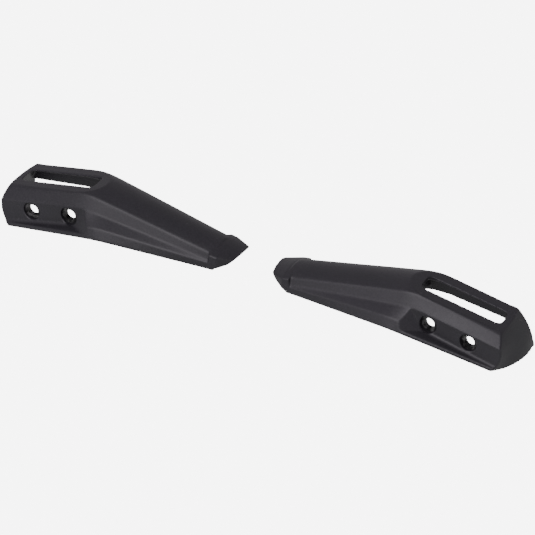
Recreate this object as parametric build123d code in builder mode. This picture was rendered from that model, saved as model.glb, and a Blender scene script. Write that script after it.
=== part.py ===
"""Mirrored pair of moulded bolt-on skate guards, with flanged bolt sleeves.

Millimetres, +Z up. X runs along the pair and the two guards mirror each other across X = 0.
The pair stands on its outer ends at Z = 0, with the show face towards -Y, and Y = 0 is in
the middle of its depth. The guard on the +X side is drawn, and the other is its mirror image.
"""

from math import ceil, cos, radians, sin, sqrt
import os

from build123d import *

os.makedirs("parts", exist_ok=True)

# ---------------------------------------------------------------- driving dimensions

# stations along X, from the mirror plane
tip_end_x = 11.8  # the very end of the tip
length = 161.5  # the outermost point of the guard
tip_x = tip_end_x + 13.2  # where the neck of the arm ends and the head of the tip begins
end_x = length - 4.5  # the outer end of the front face
bend_x = tip_x + 0.6 * (end_x - tip_x)  # where the top edge turns from the arm to the box
knuckle_x = bend_x - 6.0  # where the bottom strip turns, and the pocket starts

# overall depth and the front face
depth = 46.0
knuckle_reach = 9.8  # how far the knuckle at the bend stands out of the front face
face_y = -depth / 2 + knuckle_reach
back_reach = 27.2  # from the front face to the back of the top, at the bend

# heights
tip_height = 21.0  # the top edge at the neck
bend_height = 36.6  # the top edge at the bend, before it is rounded
end_height = 22.2  # the top edge at the outer end
neck_height = 10.0  # of the front wall at the neck
bend_rounding = 5.0  # length over which the bend turns
band_height = 8.5  # of the plain band above the pocket, at the bend
band_end_height = 6.0

# moulding
wall = 3.0
top_wall = 3.2
inner_crown = 3.0  # rise of the hollow's ceiling across its width
crown = 4.0  # rise of the arm's top across its width
pad_drop = 0.3  # the flat pad around the slot, below the bend
pad_slope = 13.8  # degrees that the pad falls towards the outer end
pad_tilt = 1.8  # degrees that it falls towards the front
lip_height = 11.2  # of the wall that hangs from the back edge of the top, at the bend
lip_tip_height = 9.0
lip_end_height = 9.5
lip_spare = 3.0  # extra lip that is trimmed off straight
rib_t = 2.0
rib_drop = 5.0  # how far a rib hangs below the hollow's ceiling at the front
rib_count = 4
cap_flare = 5.7  # how much further back the closed outer end reaches at its foot
edge_round = 2.2
back_round = 5.0
foot_round = 1.0

# pocket in the front face, around the two bolts
pocket_step = 2.5  # height over which the band above turns into the pocket's face
strip_t = 2.6  # thickness of the strip that runs under the pocket
shelf_fall = 0.3  # the shelf falls forward by this share of its depth
pocket_corner = 2.0  # concave round where the pocket's face meets its shelf

# bolts: M6 screws through flanged sleeves
outer_bolt_x = end_x - 18.5
inner_bolt_x = outer_bolt_x - 24.5
outer_bolt_rise = 6.7  # above the root of the pocket's shelf
inner_bolt_rise = 5.1
bore_d = 6.4
sleeve_d = 8.0
flange_d = 10.0
flange_t = 0.8
fit_gap = 0.1  # radial clearance of sleeve and flange in their holes
counterbore_depth = 1.8
seat_thickness = 4.8  # from the pocket face to the flat seat behind it
seat_radius = 8.0  # round flat seat behind each hole
hole_clearing = 9.0  # how far in front of the pocket's face the counterbore clears

# slot
slot_length = 48.0
slot_width = 11.8
slot_corner = 2.8
slot_x = (bend_x + end_x) / 2 - 2.9
slot_back = 14.9  # from the front face to the slot's centre line
slot_yaw = 5.0

# sections are drawn at even steps along X, from one short of the tip to well past the end
station_pitch = 9.0
stations = [2 + station_pitch * i for i in range(ceil(length / station_pitch) + 2)]
box_stations = [x for x in stations if x > knuckle_x - 2 * station_pitch]


# ---------------------------------------------------------------- lines along the guard


def bent(x, at_tip, at_bend, at_end, corner_x=bend_x):
    """A line that is straight on both sides of a rounded corner at corner_x."""
    inner = (at_bend - at_tip) / (corner_x - tip_x)
    outer = (at_end - at_bend) / (end_x - corner_x)
    run = x - corner_x
    rounded = sqrt(run**2 + bend_rounding**2)
    return at_bend + (inner + outer) / 2 * run + (outer - inner) / 2 * rounded


def top_front(x):
    return (
        bent(x, face_y + 1.2, face_y, face_y + 4.0),
        bent(x, tip_height, bend_height, end_height),
    )


def crease(x):
    return (
        bent(x, face_y + 0.2, face_y - 2.8, face_y - 0.1),
        bent(x, tip_height - 4.2, bend_height - band_height, end_height - band_end_height),
    )


def strip_bottom(x):
    return (
        bent(x, face_y - 0.4, face_y - knuckle_reach - 1.2, face_y - 1.2, knuckle_x - 3),
        bent(x, tip_height - neck_height, 14.4, 0.0, knuckle_x - 3),
    )


def strip_top(x):
    return (
        bent(x, face_y - 0.6, face_y - knuckle_reach + 0.8, face_y - 1.0, knuckle_x),
        strip_bottom(x)[1] + bent(x, 4.4, 7.6, 5.8, knuckle_x),
    )


def top_back(x):
    return (
        bent(x, face_y + 22.5, face_y + back_reach, face_y + 30.5, bend_x + 2.5),
        bent(x, tip_height, bend_height - 0.4, end_height + 2.8, bend_x + 2.5),
    )


def lip_bottom(x):
    y, z = top_back(x)
    return y + 0.8, z - bent(x, lip_tip_height, lip_height, lip_end_height, bend_x + 2.5)


def pocket_y(x):
    """The pocket's face: upright, and almost square to Y."""
    return face_y - 2.4 + 2.6 * (x - bend_x) / (end_x - bend_x)


def shelf_z(x):
    """Height of the shelf where it meets the pocket's face; it falls towards the front."""
    front_y, front_z = strip_bottom(x)
    return front_z + strip_t + shelf_fall * (pocket_y(x) - front_y)


def near(vertices, point):
    """The vertex whose place in its section is nearest to the point."""
    across, up = point
    return vertices.sort_by(lambda v: (v.X - across) ** 2 + (v.Y - up) ** 2)[0]


def between(first, second, rise):
    """Half-way between two points of a section, and raised."""
    return (first[0] + second[0]) / 2, (first[1] + second[1]) / 2 + rise


# ---------------------------------------------------------------- sections across the guard


def skin_section(x):
    """Outer outline of the guard in the plane at x, with its long edges rounded."""
    front = [strip_bottom(x), strip_top(x), crease(x), top_front(x)]
    back = [top_back(x), (lip_bottom(x)[0], lip_bottom(x)[1] - lip_spare)]
    foot = (front[0][0] + wall, front[0][1])
    with BuildSketch(Plane.YZ.offset(x)) as section:
        with BuildLine():
            Polyline(*front)
            ThreePointArc(front[-1], between(front[-1], back[0], crown), back[0])
            Polyline(*back, foot, front[0])
        make_face()
        fillet(near(section.vertices(), front[3]), radius=edge_round)
        fillet(near(section.vertices(), back[0]), radius=back_round)
        fillet(near(section.vertices(), front[0]), radius=foot_round)
        fillet(near(section.vertices(), front[1]), radius=foot_round)
    return section.sketch


def cap_section(x):
    """Outline of the closed outer end in the plane at x; it reaches down and back."""
    front = [strip_bottom(x), strip_top(x), crease(x), top_front(x)]
    back = top_back(x)
    heel = (back[0] + cap_flare, front[0][1])
    with BuildSketch(Plane.YZ.offset(x)) as section:
        with BuildLine():
            Polyline(*front)
            ThreePointArc(front[-1], between(front[-1], back, crown), back)
            Polyline(back, heel, front[0])
        make_face()
        fillet(near(section.vertices(), front[3]), radius=edge_round)
        fillet(near(section.vertices(), back), radius=back_round)
        fillet(near(section.vertices(), front[0]), radius=foot_round)
        fillet(near(section.vertices(), front[1]), radius=foot_round)
    return section.sketch


def hollow_section(x, front):
    """Outline of the space inside the guard in the plane at x, open downwards.

    front gives the inner side of the front wall, from the bottom up to the fold.
    """
    below = -length
    foot_y = front[0][0]
    shoulder = (top_front(x)[0] + wall, top_front(x)[1] - top_wall)
    back = (top_back(x)[0] - wall, top_back(x)[1] - top_wall)
    lip = (lip_bottom(x)[0] - wall, lip_bottom(x)[1])
    with BuildSketch(Plane.YZ.offset(x)) as section:
        with BuildLine():
            Polyline((foot_y, below), *front, shoulder)
            ThreePointArc(shoulder, between(shoulder, back, inner_crown), back)
            Polyline(back, lip, (lip[0], below), (foot_y, below))
        make_face()
        fillet(near(section.vertices(), shoulder), radius=1.0)
        fillet(near(section.vertices(), back), radius=1.5)
    return section.sketch


def arm_front(x):
    """Inner side of the arm's front wall, behind the flared lower face."""
    strip = (strip_top(x)[0] + wall, strip_top(x)[1] - 1.0)
    fold = (crease(x)[0] + wall, crease(x)[1] - 1.0)
    return strip, fold


def box_front(x):
    """Inner side of the box's front wall, behind the pocket's face."""
    inner_y = pocket_y(x) + wall
    return (inner_y, shelf_z(x) - strip_t), (inner_y + 0.2, crease(x)[1])


def trim_section(x):
    """Outline of what is trimmed off below the lip in the plane at x."""
    y, z = lip_bottom(x)
    inner_y = y - 2 * wall
    with BuildSketch(Plane.YZ.offset(x)) as section:
        with BuildLine():
            Polyline((inner_y, z), (depth, z), (depth, -length), (inner_y, -length), close=True)
        make_face()
    return section.sketch


def pocket_section(x):
    """Outline of what is cut away in front of the pocket's face in the plane at x."""
    fold = crease(x)
    root = (pocket_y(x), shelf_z(x))
    front_y = -depth
    shelf_front = (front_y, root[1] + shelf_fall * (front_y - root[0]))
    with BuildSketch(Plane.YZ.offset(x)) as section:
        with BuildLine():
            Polyline(
                fold,
                (pocket_y(x), fold[1] - pocket_step),
                root,
                shelf_front,
                (front_y, fold[1]),
                close=True,
            )
        make_face()
        fillet(near(section.vertices(), root), radius=pocket_corner)
    return section.sketch


def head_section(x, front, back, low, rise):
    """Outline of the tip's head in the plane at x; front and back are its top corners."""
    with BuildSketch(Plane.YZ.offset(x)) as section:
        with BuildLine():
            Polyline((front[0] + 0.2, low), front)
            ThreePointArc(front, between(front, back, rise), back)
            Polyline(back, (back[0], low), (front[0] + 0.2, low))
        make_face()
        fillet(near(section.vertices(), front), radius=1.2)
        fillet(near(section.vertices(), back), radius=2.0)
    return section.sketch


def plan_outline(z, front, middle, back):
    """Plan of the guard's outer end at height z; the three points lie on its rounded end."""
    front_y = -depth
    back_y = depth
    with BuildSketch(Plane.XY.offset(z)) as plan:
        with BuildLine():
            ThreePointArc(front, middle, back)
            Polyline(back, (back[0], back_y), (0, back_y), (0, front_y), (front[0], front_y), front)
        make_face()
    return plan.sketch


def end_form(inset):
    """Solid whose outer end is the rounded, leaning end cap, drawn in by the inset."""
    with BuildPart() as form:
        for level in (-0.4, -0.1, 0.2, 0.5, 0.8, 1.2):
            z = level * bend_height
            front_x = end_x + 1.6 - 50 * (level - 0.38) ** 2
            middle_x = length - 0.6 - 12 * level**2
            back_x = length - 1.8 - 26 * abs(level) ** 3
            add(
                plan_outline(
                    z,
                    (front_x - inset, face_y - 2),
                    (middle_x - inset, face_y + 18),
                    (back_x - inset, face_y + 34),
                )
            )
        loft()
    return form.part


# ---------------------------------------------------------------- forms that the guard is cut from

with BuildPart() as skin:
    for station in stations:
        add(skin_section(station))
    loft()
    add(end_form(0), mode=Mode.INTERSECT)
    split(bisect_by=Plane.YZ.offset(tip_x - 2), keep=Keep.TOP)

with BuildPart() as cap:
    for station in (end_x - 20, end_x + 2, end_x + 20):
        add(cap_section(station))
    loft(ruled=True)
    add(end_form(0), mode=Mode.INTERSECT)
    add(end_form(wall), mode=Mode.SUBTRACT)

with BuildPart() as lip_trim:
    for from_x, to_x in ((tip_x + 1, bend_x - 2), (bend_x - 2, bend_x + 7), (bend_x + 7, end_x + 6)):
        add(trim_section(from_x))
        add(trim_section(to_x))
        loft(ruled=True)
    add(end_form(wall), mode=Mode.INTERSECT)

# the tip's head, cut back underneath by two planes
with BuildPart() as head:
    neck_low = tip_height - neck_height + 0.8
    add(head_section(tip_x + 0.5, (face_y - 1.0, 20.8), (face_y + 25.2, 20.8), neck_low, 3.6))
    add(head_section(tip_x - 4.0, (face_y - 0.8, 20.2), (face_y + 24.8, 20.4), neck_low, 3.2))
    add(head_section(tip_end_x - 1.0, (face_y + 4.6, 18.4), (face_y + 20.4, 20.0), neck_low, 1.0))
    loft(ruled=True)
    for under_x, under_z, slope in ((tip_end_x, 19.0, 43), (tip_x - 1, neck_low, 24)):
        undercut = Plane(
            origin=(under_x, 0, under_z),
            x_dir=(0, 1, 0),
            z_dir=(sin(radians(slope)), 0, cos(radians(slope))),
        )
        split(bisect_by=undercut, keep=Keep.TOP)

# the pocket starts at the knuckle with a slanted wall
knuckle_top = Vector(bend_x - 0.8, *crease(bend_x))
knuckle_ridge = Vector(knuckle_x + 0.7, *strip_top(knuckle_x))
knuckle_foot = Vector(knuckle_x + 2.6, *strip_bottom(knuckle_x))
pocket_wall = Plane(
    origin=knuckle_top,
    z_dir=(knuckle_ridge - knuckle_top).cross(knuckle_foot - knuckle_top),
)

with BuildPart() as pocket:
    for station in box_stations:
        add(pocket_section(station))
    loft()
    split(bisect_by=pocket_wall, keep=Keep.TOP)

# the flat pad on the box's top falls outwards, and a little towards the front
pad = Plane(
    origin=(bend_x, face_y, bend_height - pad_drop),
    z_dir=(sin(radians(pad_slope)), -sin(radians(pad_tilt)), cos(radians(pad_slope))),
)

slot_plane = Plane(
    origin=(slot_x, face_y + slot_back, 0),
    x_dir=(cos(radians(slot_yaw)), sin(radians(slot_yaw)), 0),
    z_dir=(0, 0, 1),
)

with BuildPart() as slot:
    with BuildSketch(slot_plane.offset(end_height - 8)):
        RectangleRounded(slot_length, slot_width, slot_corner)
    extrude(amount=bend_height)

# ---------------------------------------------------------------- bolt holes, seats, ribs, hollow

bolts = {
    "inner": (inner_bolt_x, shelf_z(inner_bolt_x) + inner_bolt_rise),
    "outer": (outer_bolt_x, shelf_z(outer_bolt_x) + outer_bolt_rise),
}


def on_pocket(bolt, depth_in):
    """Plane square to a bolt, depth_in behind the pocket's face, facing the front."""
    x, z = bolts[bolt]
    return Plane(origin=(x, pocket_y(x) + depth_in, z), x_dir=(1, 0, 0), z_dir=(0, -1, 0))


with BuildPart() as bosses:
    for bolt in bolts:
        with BuildSketch(on_pocket(bolt, seat_thickness)):
            Circle(seat_radius)
        extrude(amount=seat_thickness)

with BuildPart() as ribs:
    for i in range(rib_count):
        rib_x = bend_x - 4 - i * (bend_x - tip_x) / (rib_count + 0.4)
        low = top_front(rib_x)[1] - top_wall - rib_drop
        with BuildSketch(Plane.XY.offset(low)):
            with Locations((rib_x, 0)):
                Rectangle(rib_t, 2 * depth)
        extrude(amount=bend_height)

with BuildPart() as arm_hollow:
    for station in stations[1:]:
        add(hollow_section(station, arm_front(station)))
    loft()
    split(bisect_by=Plane.YZ.offset(tip_x + 10), keep=Keep.TOP)
    split(bisect_by=Plane.YZ.offset(knuckle_x - wall), keep=Keep.BOTTOM)
    add(ribs.part, mode=Mode.SUBTRACT)

with BuildPart() as box_hollow:
    for station in box_stations:
        add(hollow_section(station, box_front(station)))
    loft()
    add(end_form(wall), mode=Mode.INTERSECT)
    split(bisect_by=Plane.YZ.offset(knuckle_x - wall), keep=Keep.TOP)
    add(bosses.part, mode=Mode.SUBTRACT)
    add(ribs.part, mode=Mode.SUBTRACT)

# ---------------------------------------------------------------- the guard

with BuildPart() as right_guard:
    add(skin.part)
    add(lip_trim.part, mode=Mode.SUBTRACT)
    add(cap.part)
    add(head.part)
    add(pocket.part, mode=Mode.SUBTRACT)
    split(bisect_by=Plane.XY, keep=Keep.TOP)
    split(bisect_by=pad, keep=Keep.BOTTOM)
    add(arm_hollow.part, mode=Mode.SUBTRACT)
    add(box_hollow.part, mode=Mode.SUBTRACT)
    add(slot.part, mode=Mode.SUBTRACT)
    for bolt in bolts:
        with Locations(on_pocket(bolt, -hole_clearing)):
            CounterBoreHole(
                radius=sleeve_d / 2 + fit_gap,
                counter_bore_radius=flange_d / 2 + fit_gap,
                counter_bore_depth=hole_clearing + counterbore_depth + flange_t,
                depth=hole_clearing + 2 * seat_thickness,
            )


def sleeve(bolt):
    """Flanged sleeve that sits in a bolt hole and ends flush with the seat behind it."""
    with BuildPart() as made:
        with BuildSketch(on_pocket(bolt, seat_thickness)):
            Circle(sleeve_d / 2)
            Circle(bore_d / 2, mode=Mode.SUBTRACT)
        extrude(amount=seat_thickness - counterbore_depth)
        with BuildSketch(on_pocket(bolt, counterbore_depth + flange_t)):
            Circle(flange_d / 2)
            Circle(bore_d / 2, mode=Mode.SUBTRACT)
        extrude(amount=flange_t)
    return made.part


# ---------------------------------------------------------------- the six pieces

right_pieces = {"guard": right_guard.part}
for bolt in bolts:
    right_pieces[bolt + "_sleeve"] = sleeve(bolt)

for name, piece in right_pieces.items():
    print(name, piece.volume, piece.is_valid, len(piece.solids()), piece.bounding_box())
    piece.label = "right_" + name
    export_step(piece, "parts/right_" + name + ".step")
    twin = mirror(piece, about=Plane.YZ)
    twin.label = "left_" + name
    export_step(twin, "parts/left_" + name + ".step")
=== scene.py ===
import math

import bpy
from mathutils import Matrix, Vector

# Looks of the two moulded guards and their four bolt sleeves, on a plain pale floor.
# Metres, in the frame's own axes: +Z up, the show faces towards -Y, and the pair along X.

MM = 0.001

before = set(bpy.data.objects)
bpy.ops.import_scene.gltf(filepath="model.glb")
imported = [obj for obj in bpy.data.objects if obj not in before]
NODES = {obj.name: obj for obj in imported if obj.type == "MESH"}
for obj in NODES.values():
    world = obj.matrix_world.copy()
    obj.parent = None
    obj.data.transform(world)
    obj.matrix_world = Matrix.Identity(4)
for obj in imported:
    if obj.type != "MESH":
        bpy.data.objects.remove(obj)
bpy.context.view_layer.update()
GUARDS = ("left_guard", "right_guard")

# ---------------------------------------------------------------- directions


def outward(azimuth, elevation):
    """Unit vector from the object. Azimuth 0 is the front and 90 the +X side; degrees."""
    a, e = math.radians(azimuth), math.radians(elevation)
    return Vector((math.sin(a) * math.cos(e), -math.cos(a) * math.cos(e), math.sin(e)))


# ---------------------------------------------------------------- material helpers


def new_material(name):
    """A material with an empty node tree but for its surface, and the tree."""
    material = bpy.data.materials.new(name)
    material.use_nodes = True
    tree = material.node_tree
    tree.nodes.clear()
    return material, tree


def node(tree, kind, **inputs):
    """Adds a node; keywords set its inputs by name, with _ for a space."""
    made = tree.nodes.new(kind)
    for key, value in inputs.items():
        socket = made.inputs[key.replace("_", " ")]
        if isinstance(value, bpy.types.NodeSocket):
            tree.links.new(value, socket)
        else:
            socket.default_value = value
    return made


def noise(tree, where, per_metre, detail=3.0, roughness=0.55, stretch=(1, 1, 1)):
    """Noise of that many features a metre, between 0 and 1."""
    mapping = tree.nodes.new("ShaderNodeMapping")
    mapping.inputs["Scale"].default_value = stretch
    tree.links.new(where, mapping.inputs["Vector"])
    made = node(tree, "ShaderNodeTexNoise", Vector=mapping.outputs[0], Scale=per_metre, Detail=detail)
    made.inputs["Roughness"].default_value = roughness
    return made.outputs["Fac"]


def remap(tree, value, low, high, to_low, to_high):
    """The value's range from low to high, stretched to a new range and clamped to it."""
    made = node(tree, "ShaderNodeMapRange", Value=value)
    for key, number in (("From Min", low), ("From Max", high), ("To Min", to_low), ("To Max", to_high)):
        made.inputs[key].default_value = number
    made.clamp = True
    return made.outputs["Result"]


def combine(tree, operation, first, second):
    """Arithmetic on two values, each a socket or a number."""
    made = tree.nodes.new("ShaderNodeMath")
    made.operation = operation
    for socket, value in zip(made.inputs, (first, second)):
        if isinstance(value, bpy.types.NodeSocket):
            tree.links.new(value, socket)
        else:
            socket.default_value = value
    return made.outputs[0]


def blend_colour(tree, factor, first, second):
    """Mix of two colours, from the first at factor 0 to the second at factor 1."""
    made = tree.nodes.new("ShaderNodeMix")
    made.data_type = "RGBA"
    sockets = {s.name: s for s in made.inputs if s.type == "RGBA"}
    for socket, value in ((made.inputs[0], factor), (sockets["A"], first), (sockets["B"], second)):
        if isinstance(value, bpy.types.NodeSocket):
            tree.links.new(value, socket)
        else:
            socket.default_value = value
    return next(s for s in made.outputs if s.type == "RGBA")


# ---------------------------------------------------------------- moulded plastic

PLASTIC = (0.0150, 0.0138, 0.0178, 1)
PLASTIC_PALE = (0.0215, 0.0198, 0.0250, 1)
PLASTIC_WORN = (0.0560, 0.0520, 0.0620, 1)

# features of each noise in a metre
GRAIN_PITCH = 1300
PIT_PITCH = 4200
FLOW_PITCH = 60
CLOUD_PITCH = 18
RUB_PITCH = 380
GRAIN_RELIEF = 0.09 * MM


def plastic_material():
    """Black injection-moulded plastic: fine spark-eroded grain, faint flow marks, rubbed edges."""
    material, tree = new_material("guard_plastic")
    where = tree.nodes.new("ShaderNodeTexCoord").outputs["Object"]
    geometry = tree.nodes.new("ShaderNodeNewGeometry")

    grain = noise(tree, where, GRAIN_PITCH, detail=4.0, roughness=0.66)
    pits = noise(tree, where, PIT_PITCH, detail=2.0)
    flow = noise(tree, where, FLOW_PITCH, detail=3.0, stretch=(0.35, 1, 1.6))
    cloud = noise(tree, where, CLOUD_PITCH, detail=2.0)
    rub = noise(tree, where, RUB_PITCH, detail=4.0, roughness=0.7)

    edge = remap(tree, geometry.outputs["Pointiness"], 0.512, 0.60, 0.0, 1.0)
    worn = combine(tree, "MULTIPLY", edge, remap(tree, rub, 0.38, 0.66, 0.15, 0.85))

    base = blend_colour(tree, remap(tree, cloud, 0.35, 0.65, 0, 1), PLASTIC, PLASTIC_PALE)
    base = blend_colour(tree, remap(tree, grain, 0.42, 0.72, 0, 0.35), base, PLASTIC_WORN)
    base = blend_colour(tree, worn, base, PLASTIC_WORN)

    rough = remap(tree, grain, 0.3, 0.7, 0.36, 0.46)
    rough = combine(tree, "ADD", rough, remap(tree, flow, 0.35, 0.65, -0.03, 0.03))
    rough = combine(tree, "SUBTRACT", rough, combine(tree, "MULTIPLY", worn, 0.06))

    height = combine(tree, "ADD", grain, combine(tree, "MULTIPLY", pits, 0.5))
    height = combine(tree, "ADD", height, combine(tree, "MULTIPLY", flow, 0.8))
    bump = node(tree, "ShaderNodeBump", Height=height, Strength=0.60, Distance=GRAIN_RELIEF)

    shader = node(tree, "ShaderNodeBsdfPrincipled", Base_Color=base, Roughness=rough)
    tree.links.new(bump.outputs["Normal"], shader.inputs["Normal"])
    node(tree, "ShaderNodeOutputMaterial", Surface=shader.outputs[0])
    return material


# ---------------------------------------------------------------- blackened steel

STEEL_BLACK = (0.008, 0.008, 0.009, 1)
STEEL_DULL = (0.020, 0.019, 0.018, 1)
# pale rim colour: metal rubbed through, and also a painted glint
STEEL_RIM_AND_GLINT = (0.20, 0.20, 0.20, 1)

SPECK_PITCH = 2600
PATCH_PITCH = 320
TURNING_PITCH = 900
TURNING_RELIEF = 0.03 * MM


def sleeve_material():
    """Turned steel, blackened: lathe rings, darker patches, and pale rubbed rims that are partly metal
    worn through and partly a painted glint.
    """
    material, tree = new_material("sleeve_metal")
    where = tree.nodes.new("ShaderNodeTexCoord").outputs["Object"]
    geometry = tree.nodes.new("ShaderNodeNewGeometry")

    speck = noise(tree, where, SPECK_PITCH, detail=3.0)
    patch = noise(tree, where, PATCH_PITCH, detail=3.0)
    turned = noise(tree, where, TURNING_PITCH, detail=2.0, stretch=(1, 6, 1))
    # pale rims where the mesh is sharp: partly rubbed-through metal, partly a painted glint on the rims
    edge = remap(tree, geometry.outputs["Pointiness"], 0.52, 0.62, 0.0, 1.0)
    rim_wear_and_glint = combine(tree, "MULTIPLY", edge, remap(tree, patch, 0.46, 0.62, 0.0, 0.5))

    base = blend_colour(tree, remap(tree, patch, 0.35, 0.65, 0, 0.5), STEEL_BLACK, STEEL_DULL)
    base = blend_colour(tree, rim_wear_and_glint, base, STEEL_RIM_AND_GLINT)
    rough = remap(tree, speck, 0.3, 0.7, 0.24, 0.40)
    height = combine(tree, "ADD", turned, combine(tree, "MULTIPLY", speck, 0.4))
    bump = node(tree, "ShaderNodeBump", Height=height, Strength=0.35, Distance=TURNING_RELIEF)

    shader = node(tree, "ShaderNodeBsdfPrincipled", Base_Color=base, Roughness=rough, Metallic=0.35)
    tree.links.new(bump.outputs["Normal"], shader.inputs["Normal"])
    node(tree, "ShaderNodeOutputMaterial", Surface=shader.outputs[0])
    return material


# ---------------------------------------------------------------- the pieces

SKIN_PITCH = 0.45 * MM
RIM_RADIUS = 0.12 * MM


def round_moulding(guard):
    """Gives a moulding the small radii of a real one, by a fine even mesh that is smoothed."""
    remesh = guard.modifiers.new("moulded skin", "REMESH")
    remesh.mode = "VOXEL"
    remesh.voxel_size = SKIN_PITCH
    remesh.use_smooth_shade = True
    soften = guard.modifiers.new("moulded radii", "SMOOTH")
    soften.factor = 0.5
    soften.iterations = 7


def round_rims(turned_piece):
    """Breaks the sharp rims of a turned piece."""
    radii = turned_piece.modifiers.new("rim radii", "BEVEL")
    radii.width = RIM_RADIUS
    radii.segments = 2
    radii.limit_method = "ANGLE"
    radii.angle_limit = math.radians(50)


plastic = plastic_material()
steel = sleeve_material()

for name, piece in NODES.items():
    piece.data.materials.clear()
    if name in GUARDS:
        piece.data.materials.append(plastic)
        round_moulding(piece)
    else:
        piece.data.materials.append(steel)
        round_rims(piece)

# ---------------------------------------------------------------- floor, world and lights

STUDIO_TINT = (0.985, 0.94, 1.0, 1)
AMBIENT = 0.46
FLOOR_SIZE = 60
FLOOR_DROP = 0.3 * MM  # keeps the floor clear of the foot of each guard
FLOOR_SEEN = 7.0
FLOOR_FELT = 0.50


def glow(name, seen, felt):
    """A surface that the camera sees at one brightness and the object is lit by at another."""
    material, tree = new_material(name)
    path = tree.nodes.new("ShaderNodeLightPath")
    level = remap(tree, path.outputs["Is Camera Ray"], 0, 1, felt, seen)
    shine = node(tree, "ShaderNodeEmission", Strength=level, Color=(1, 1, 1, 1))
    node(tree, "ShaderNodeOutputMaterial", Surface=shine.outputs[0])
    return material


bpy.ops.mesh.primitive_plane_add(size=FLOOR_SIZE, location=(0, 0, -FLOOR_DROP))
floor = bpy.context.object
floor.name = "floor"
floor.data.materials.append(glow("floor_white", FLOOR_SEEN, FLOOR_FELT))

world = bpy.data.worlds.new("studio")
bpy.context.scene.world = world
world.use_nodes = True
world.node_tree.nodes["Background"].inputs["Color"].default_value = STUDIO_TINT
world.node_tree.nodes["Background"].inputs["Strength"].default_value = AMBIENT


def softbox(name, azimuth, elevation, away, width, height, radiance):
    """A soft area light that faces the object; metres and degrees."""
    out = outward(azimuth, elevation)
    data = bpy.data.lights.new(name, "AREA")
    data.shape = "RECTANGLE"
    data.size, data.size_y = width, height
    data.color = STUDIO_TINT[:3]
    data.energy = radiance * math.pi * width * height
    lamp = bpy.data.objects.new(name, data)
    bpy.context.collection.objects.link(lamp)
    lamp.location = out * away
    lamp.rotation_mode = "QUATERNION"
    lamp.rotation_quaternion = out.to_track_quat("Z", "Y")


softbox("front softbox", azimuth=-11, elevation=24, away=1.6, width=1.0, height=1.6, radiance=3.1)

# ---------------------------------------------------------------- camera

AZIMUTH = 30
ELEVATION = 31.5
AWAY = 12.0
SENSOR = 36
FIELD = 294.25 * MM  # width of the view at the object
VIEW_Y = -12.3 * MM  # the view is laid out from a line just behind the front faces
AIM_RIGHT = 9.625 * MM
AIM_UP = 16.85 * MM

right = outward(AZIMUTH + 90, 0)
towards = outward(AZIMUTH, ELEVATION)
up = towards.cross(right)
aim = Vector((0, VIEW_Y, 0)) + right * AIM_RIGHT + up * AIM_UP

camera_data = bpy.data.cameras.new("camera")
camera_data.sensor_width = SENSOR
camera_data.lens = SENSOR * AWAY / FIELD
camera_data.clip_start = 1
camera_data.clip_end = 100
camera = bpy.data.objects.new("camera", camera_data)
bpy.context.collection.objects.link(camera)
camera.location = aim + towards * AWAY
camera.rotation_mode = "QUATERNION"
camera.rotation_quaternion = towards.to_track_quat("Z", "Y")
bpy.context.scene.camera = camera
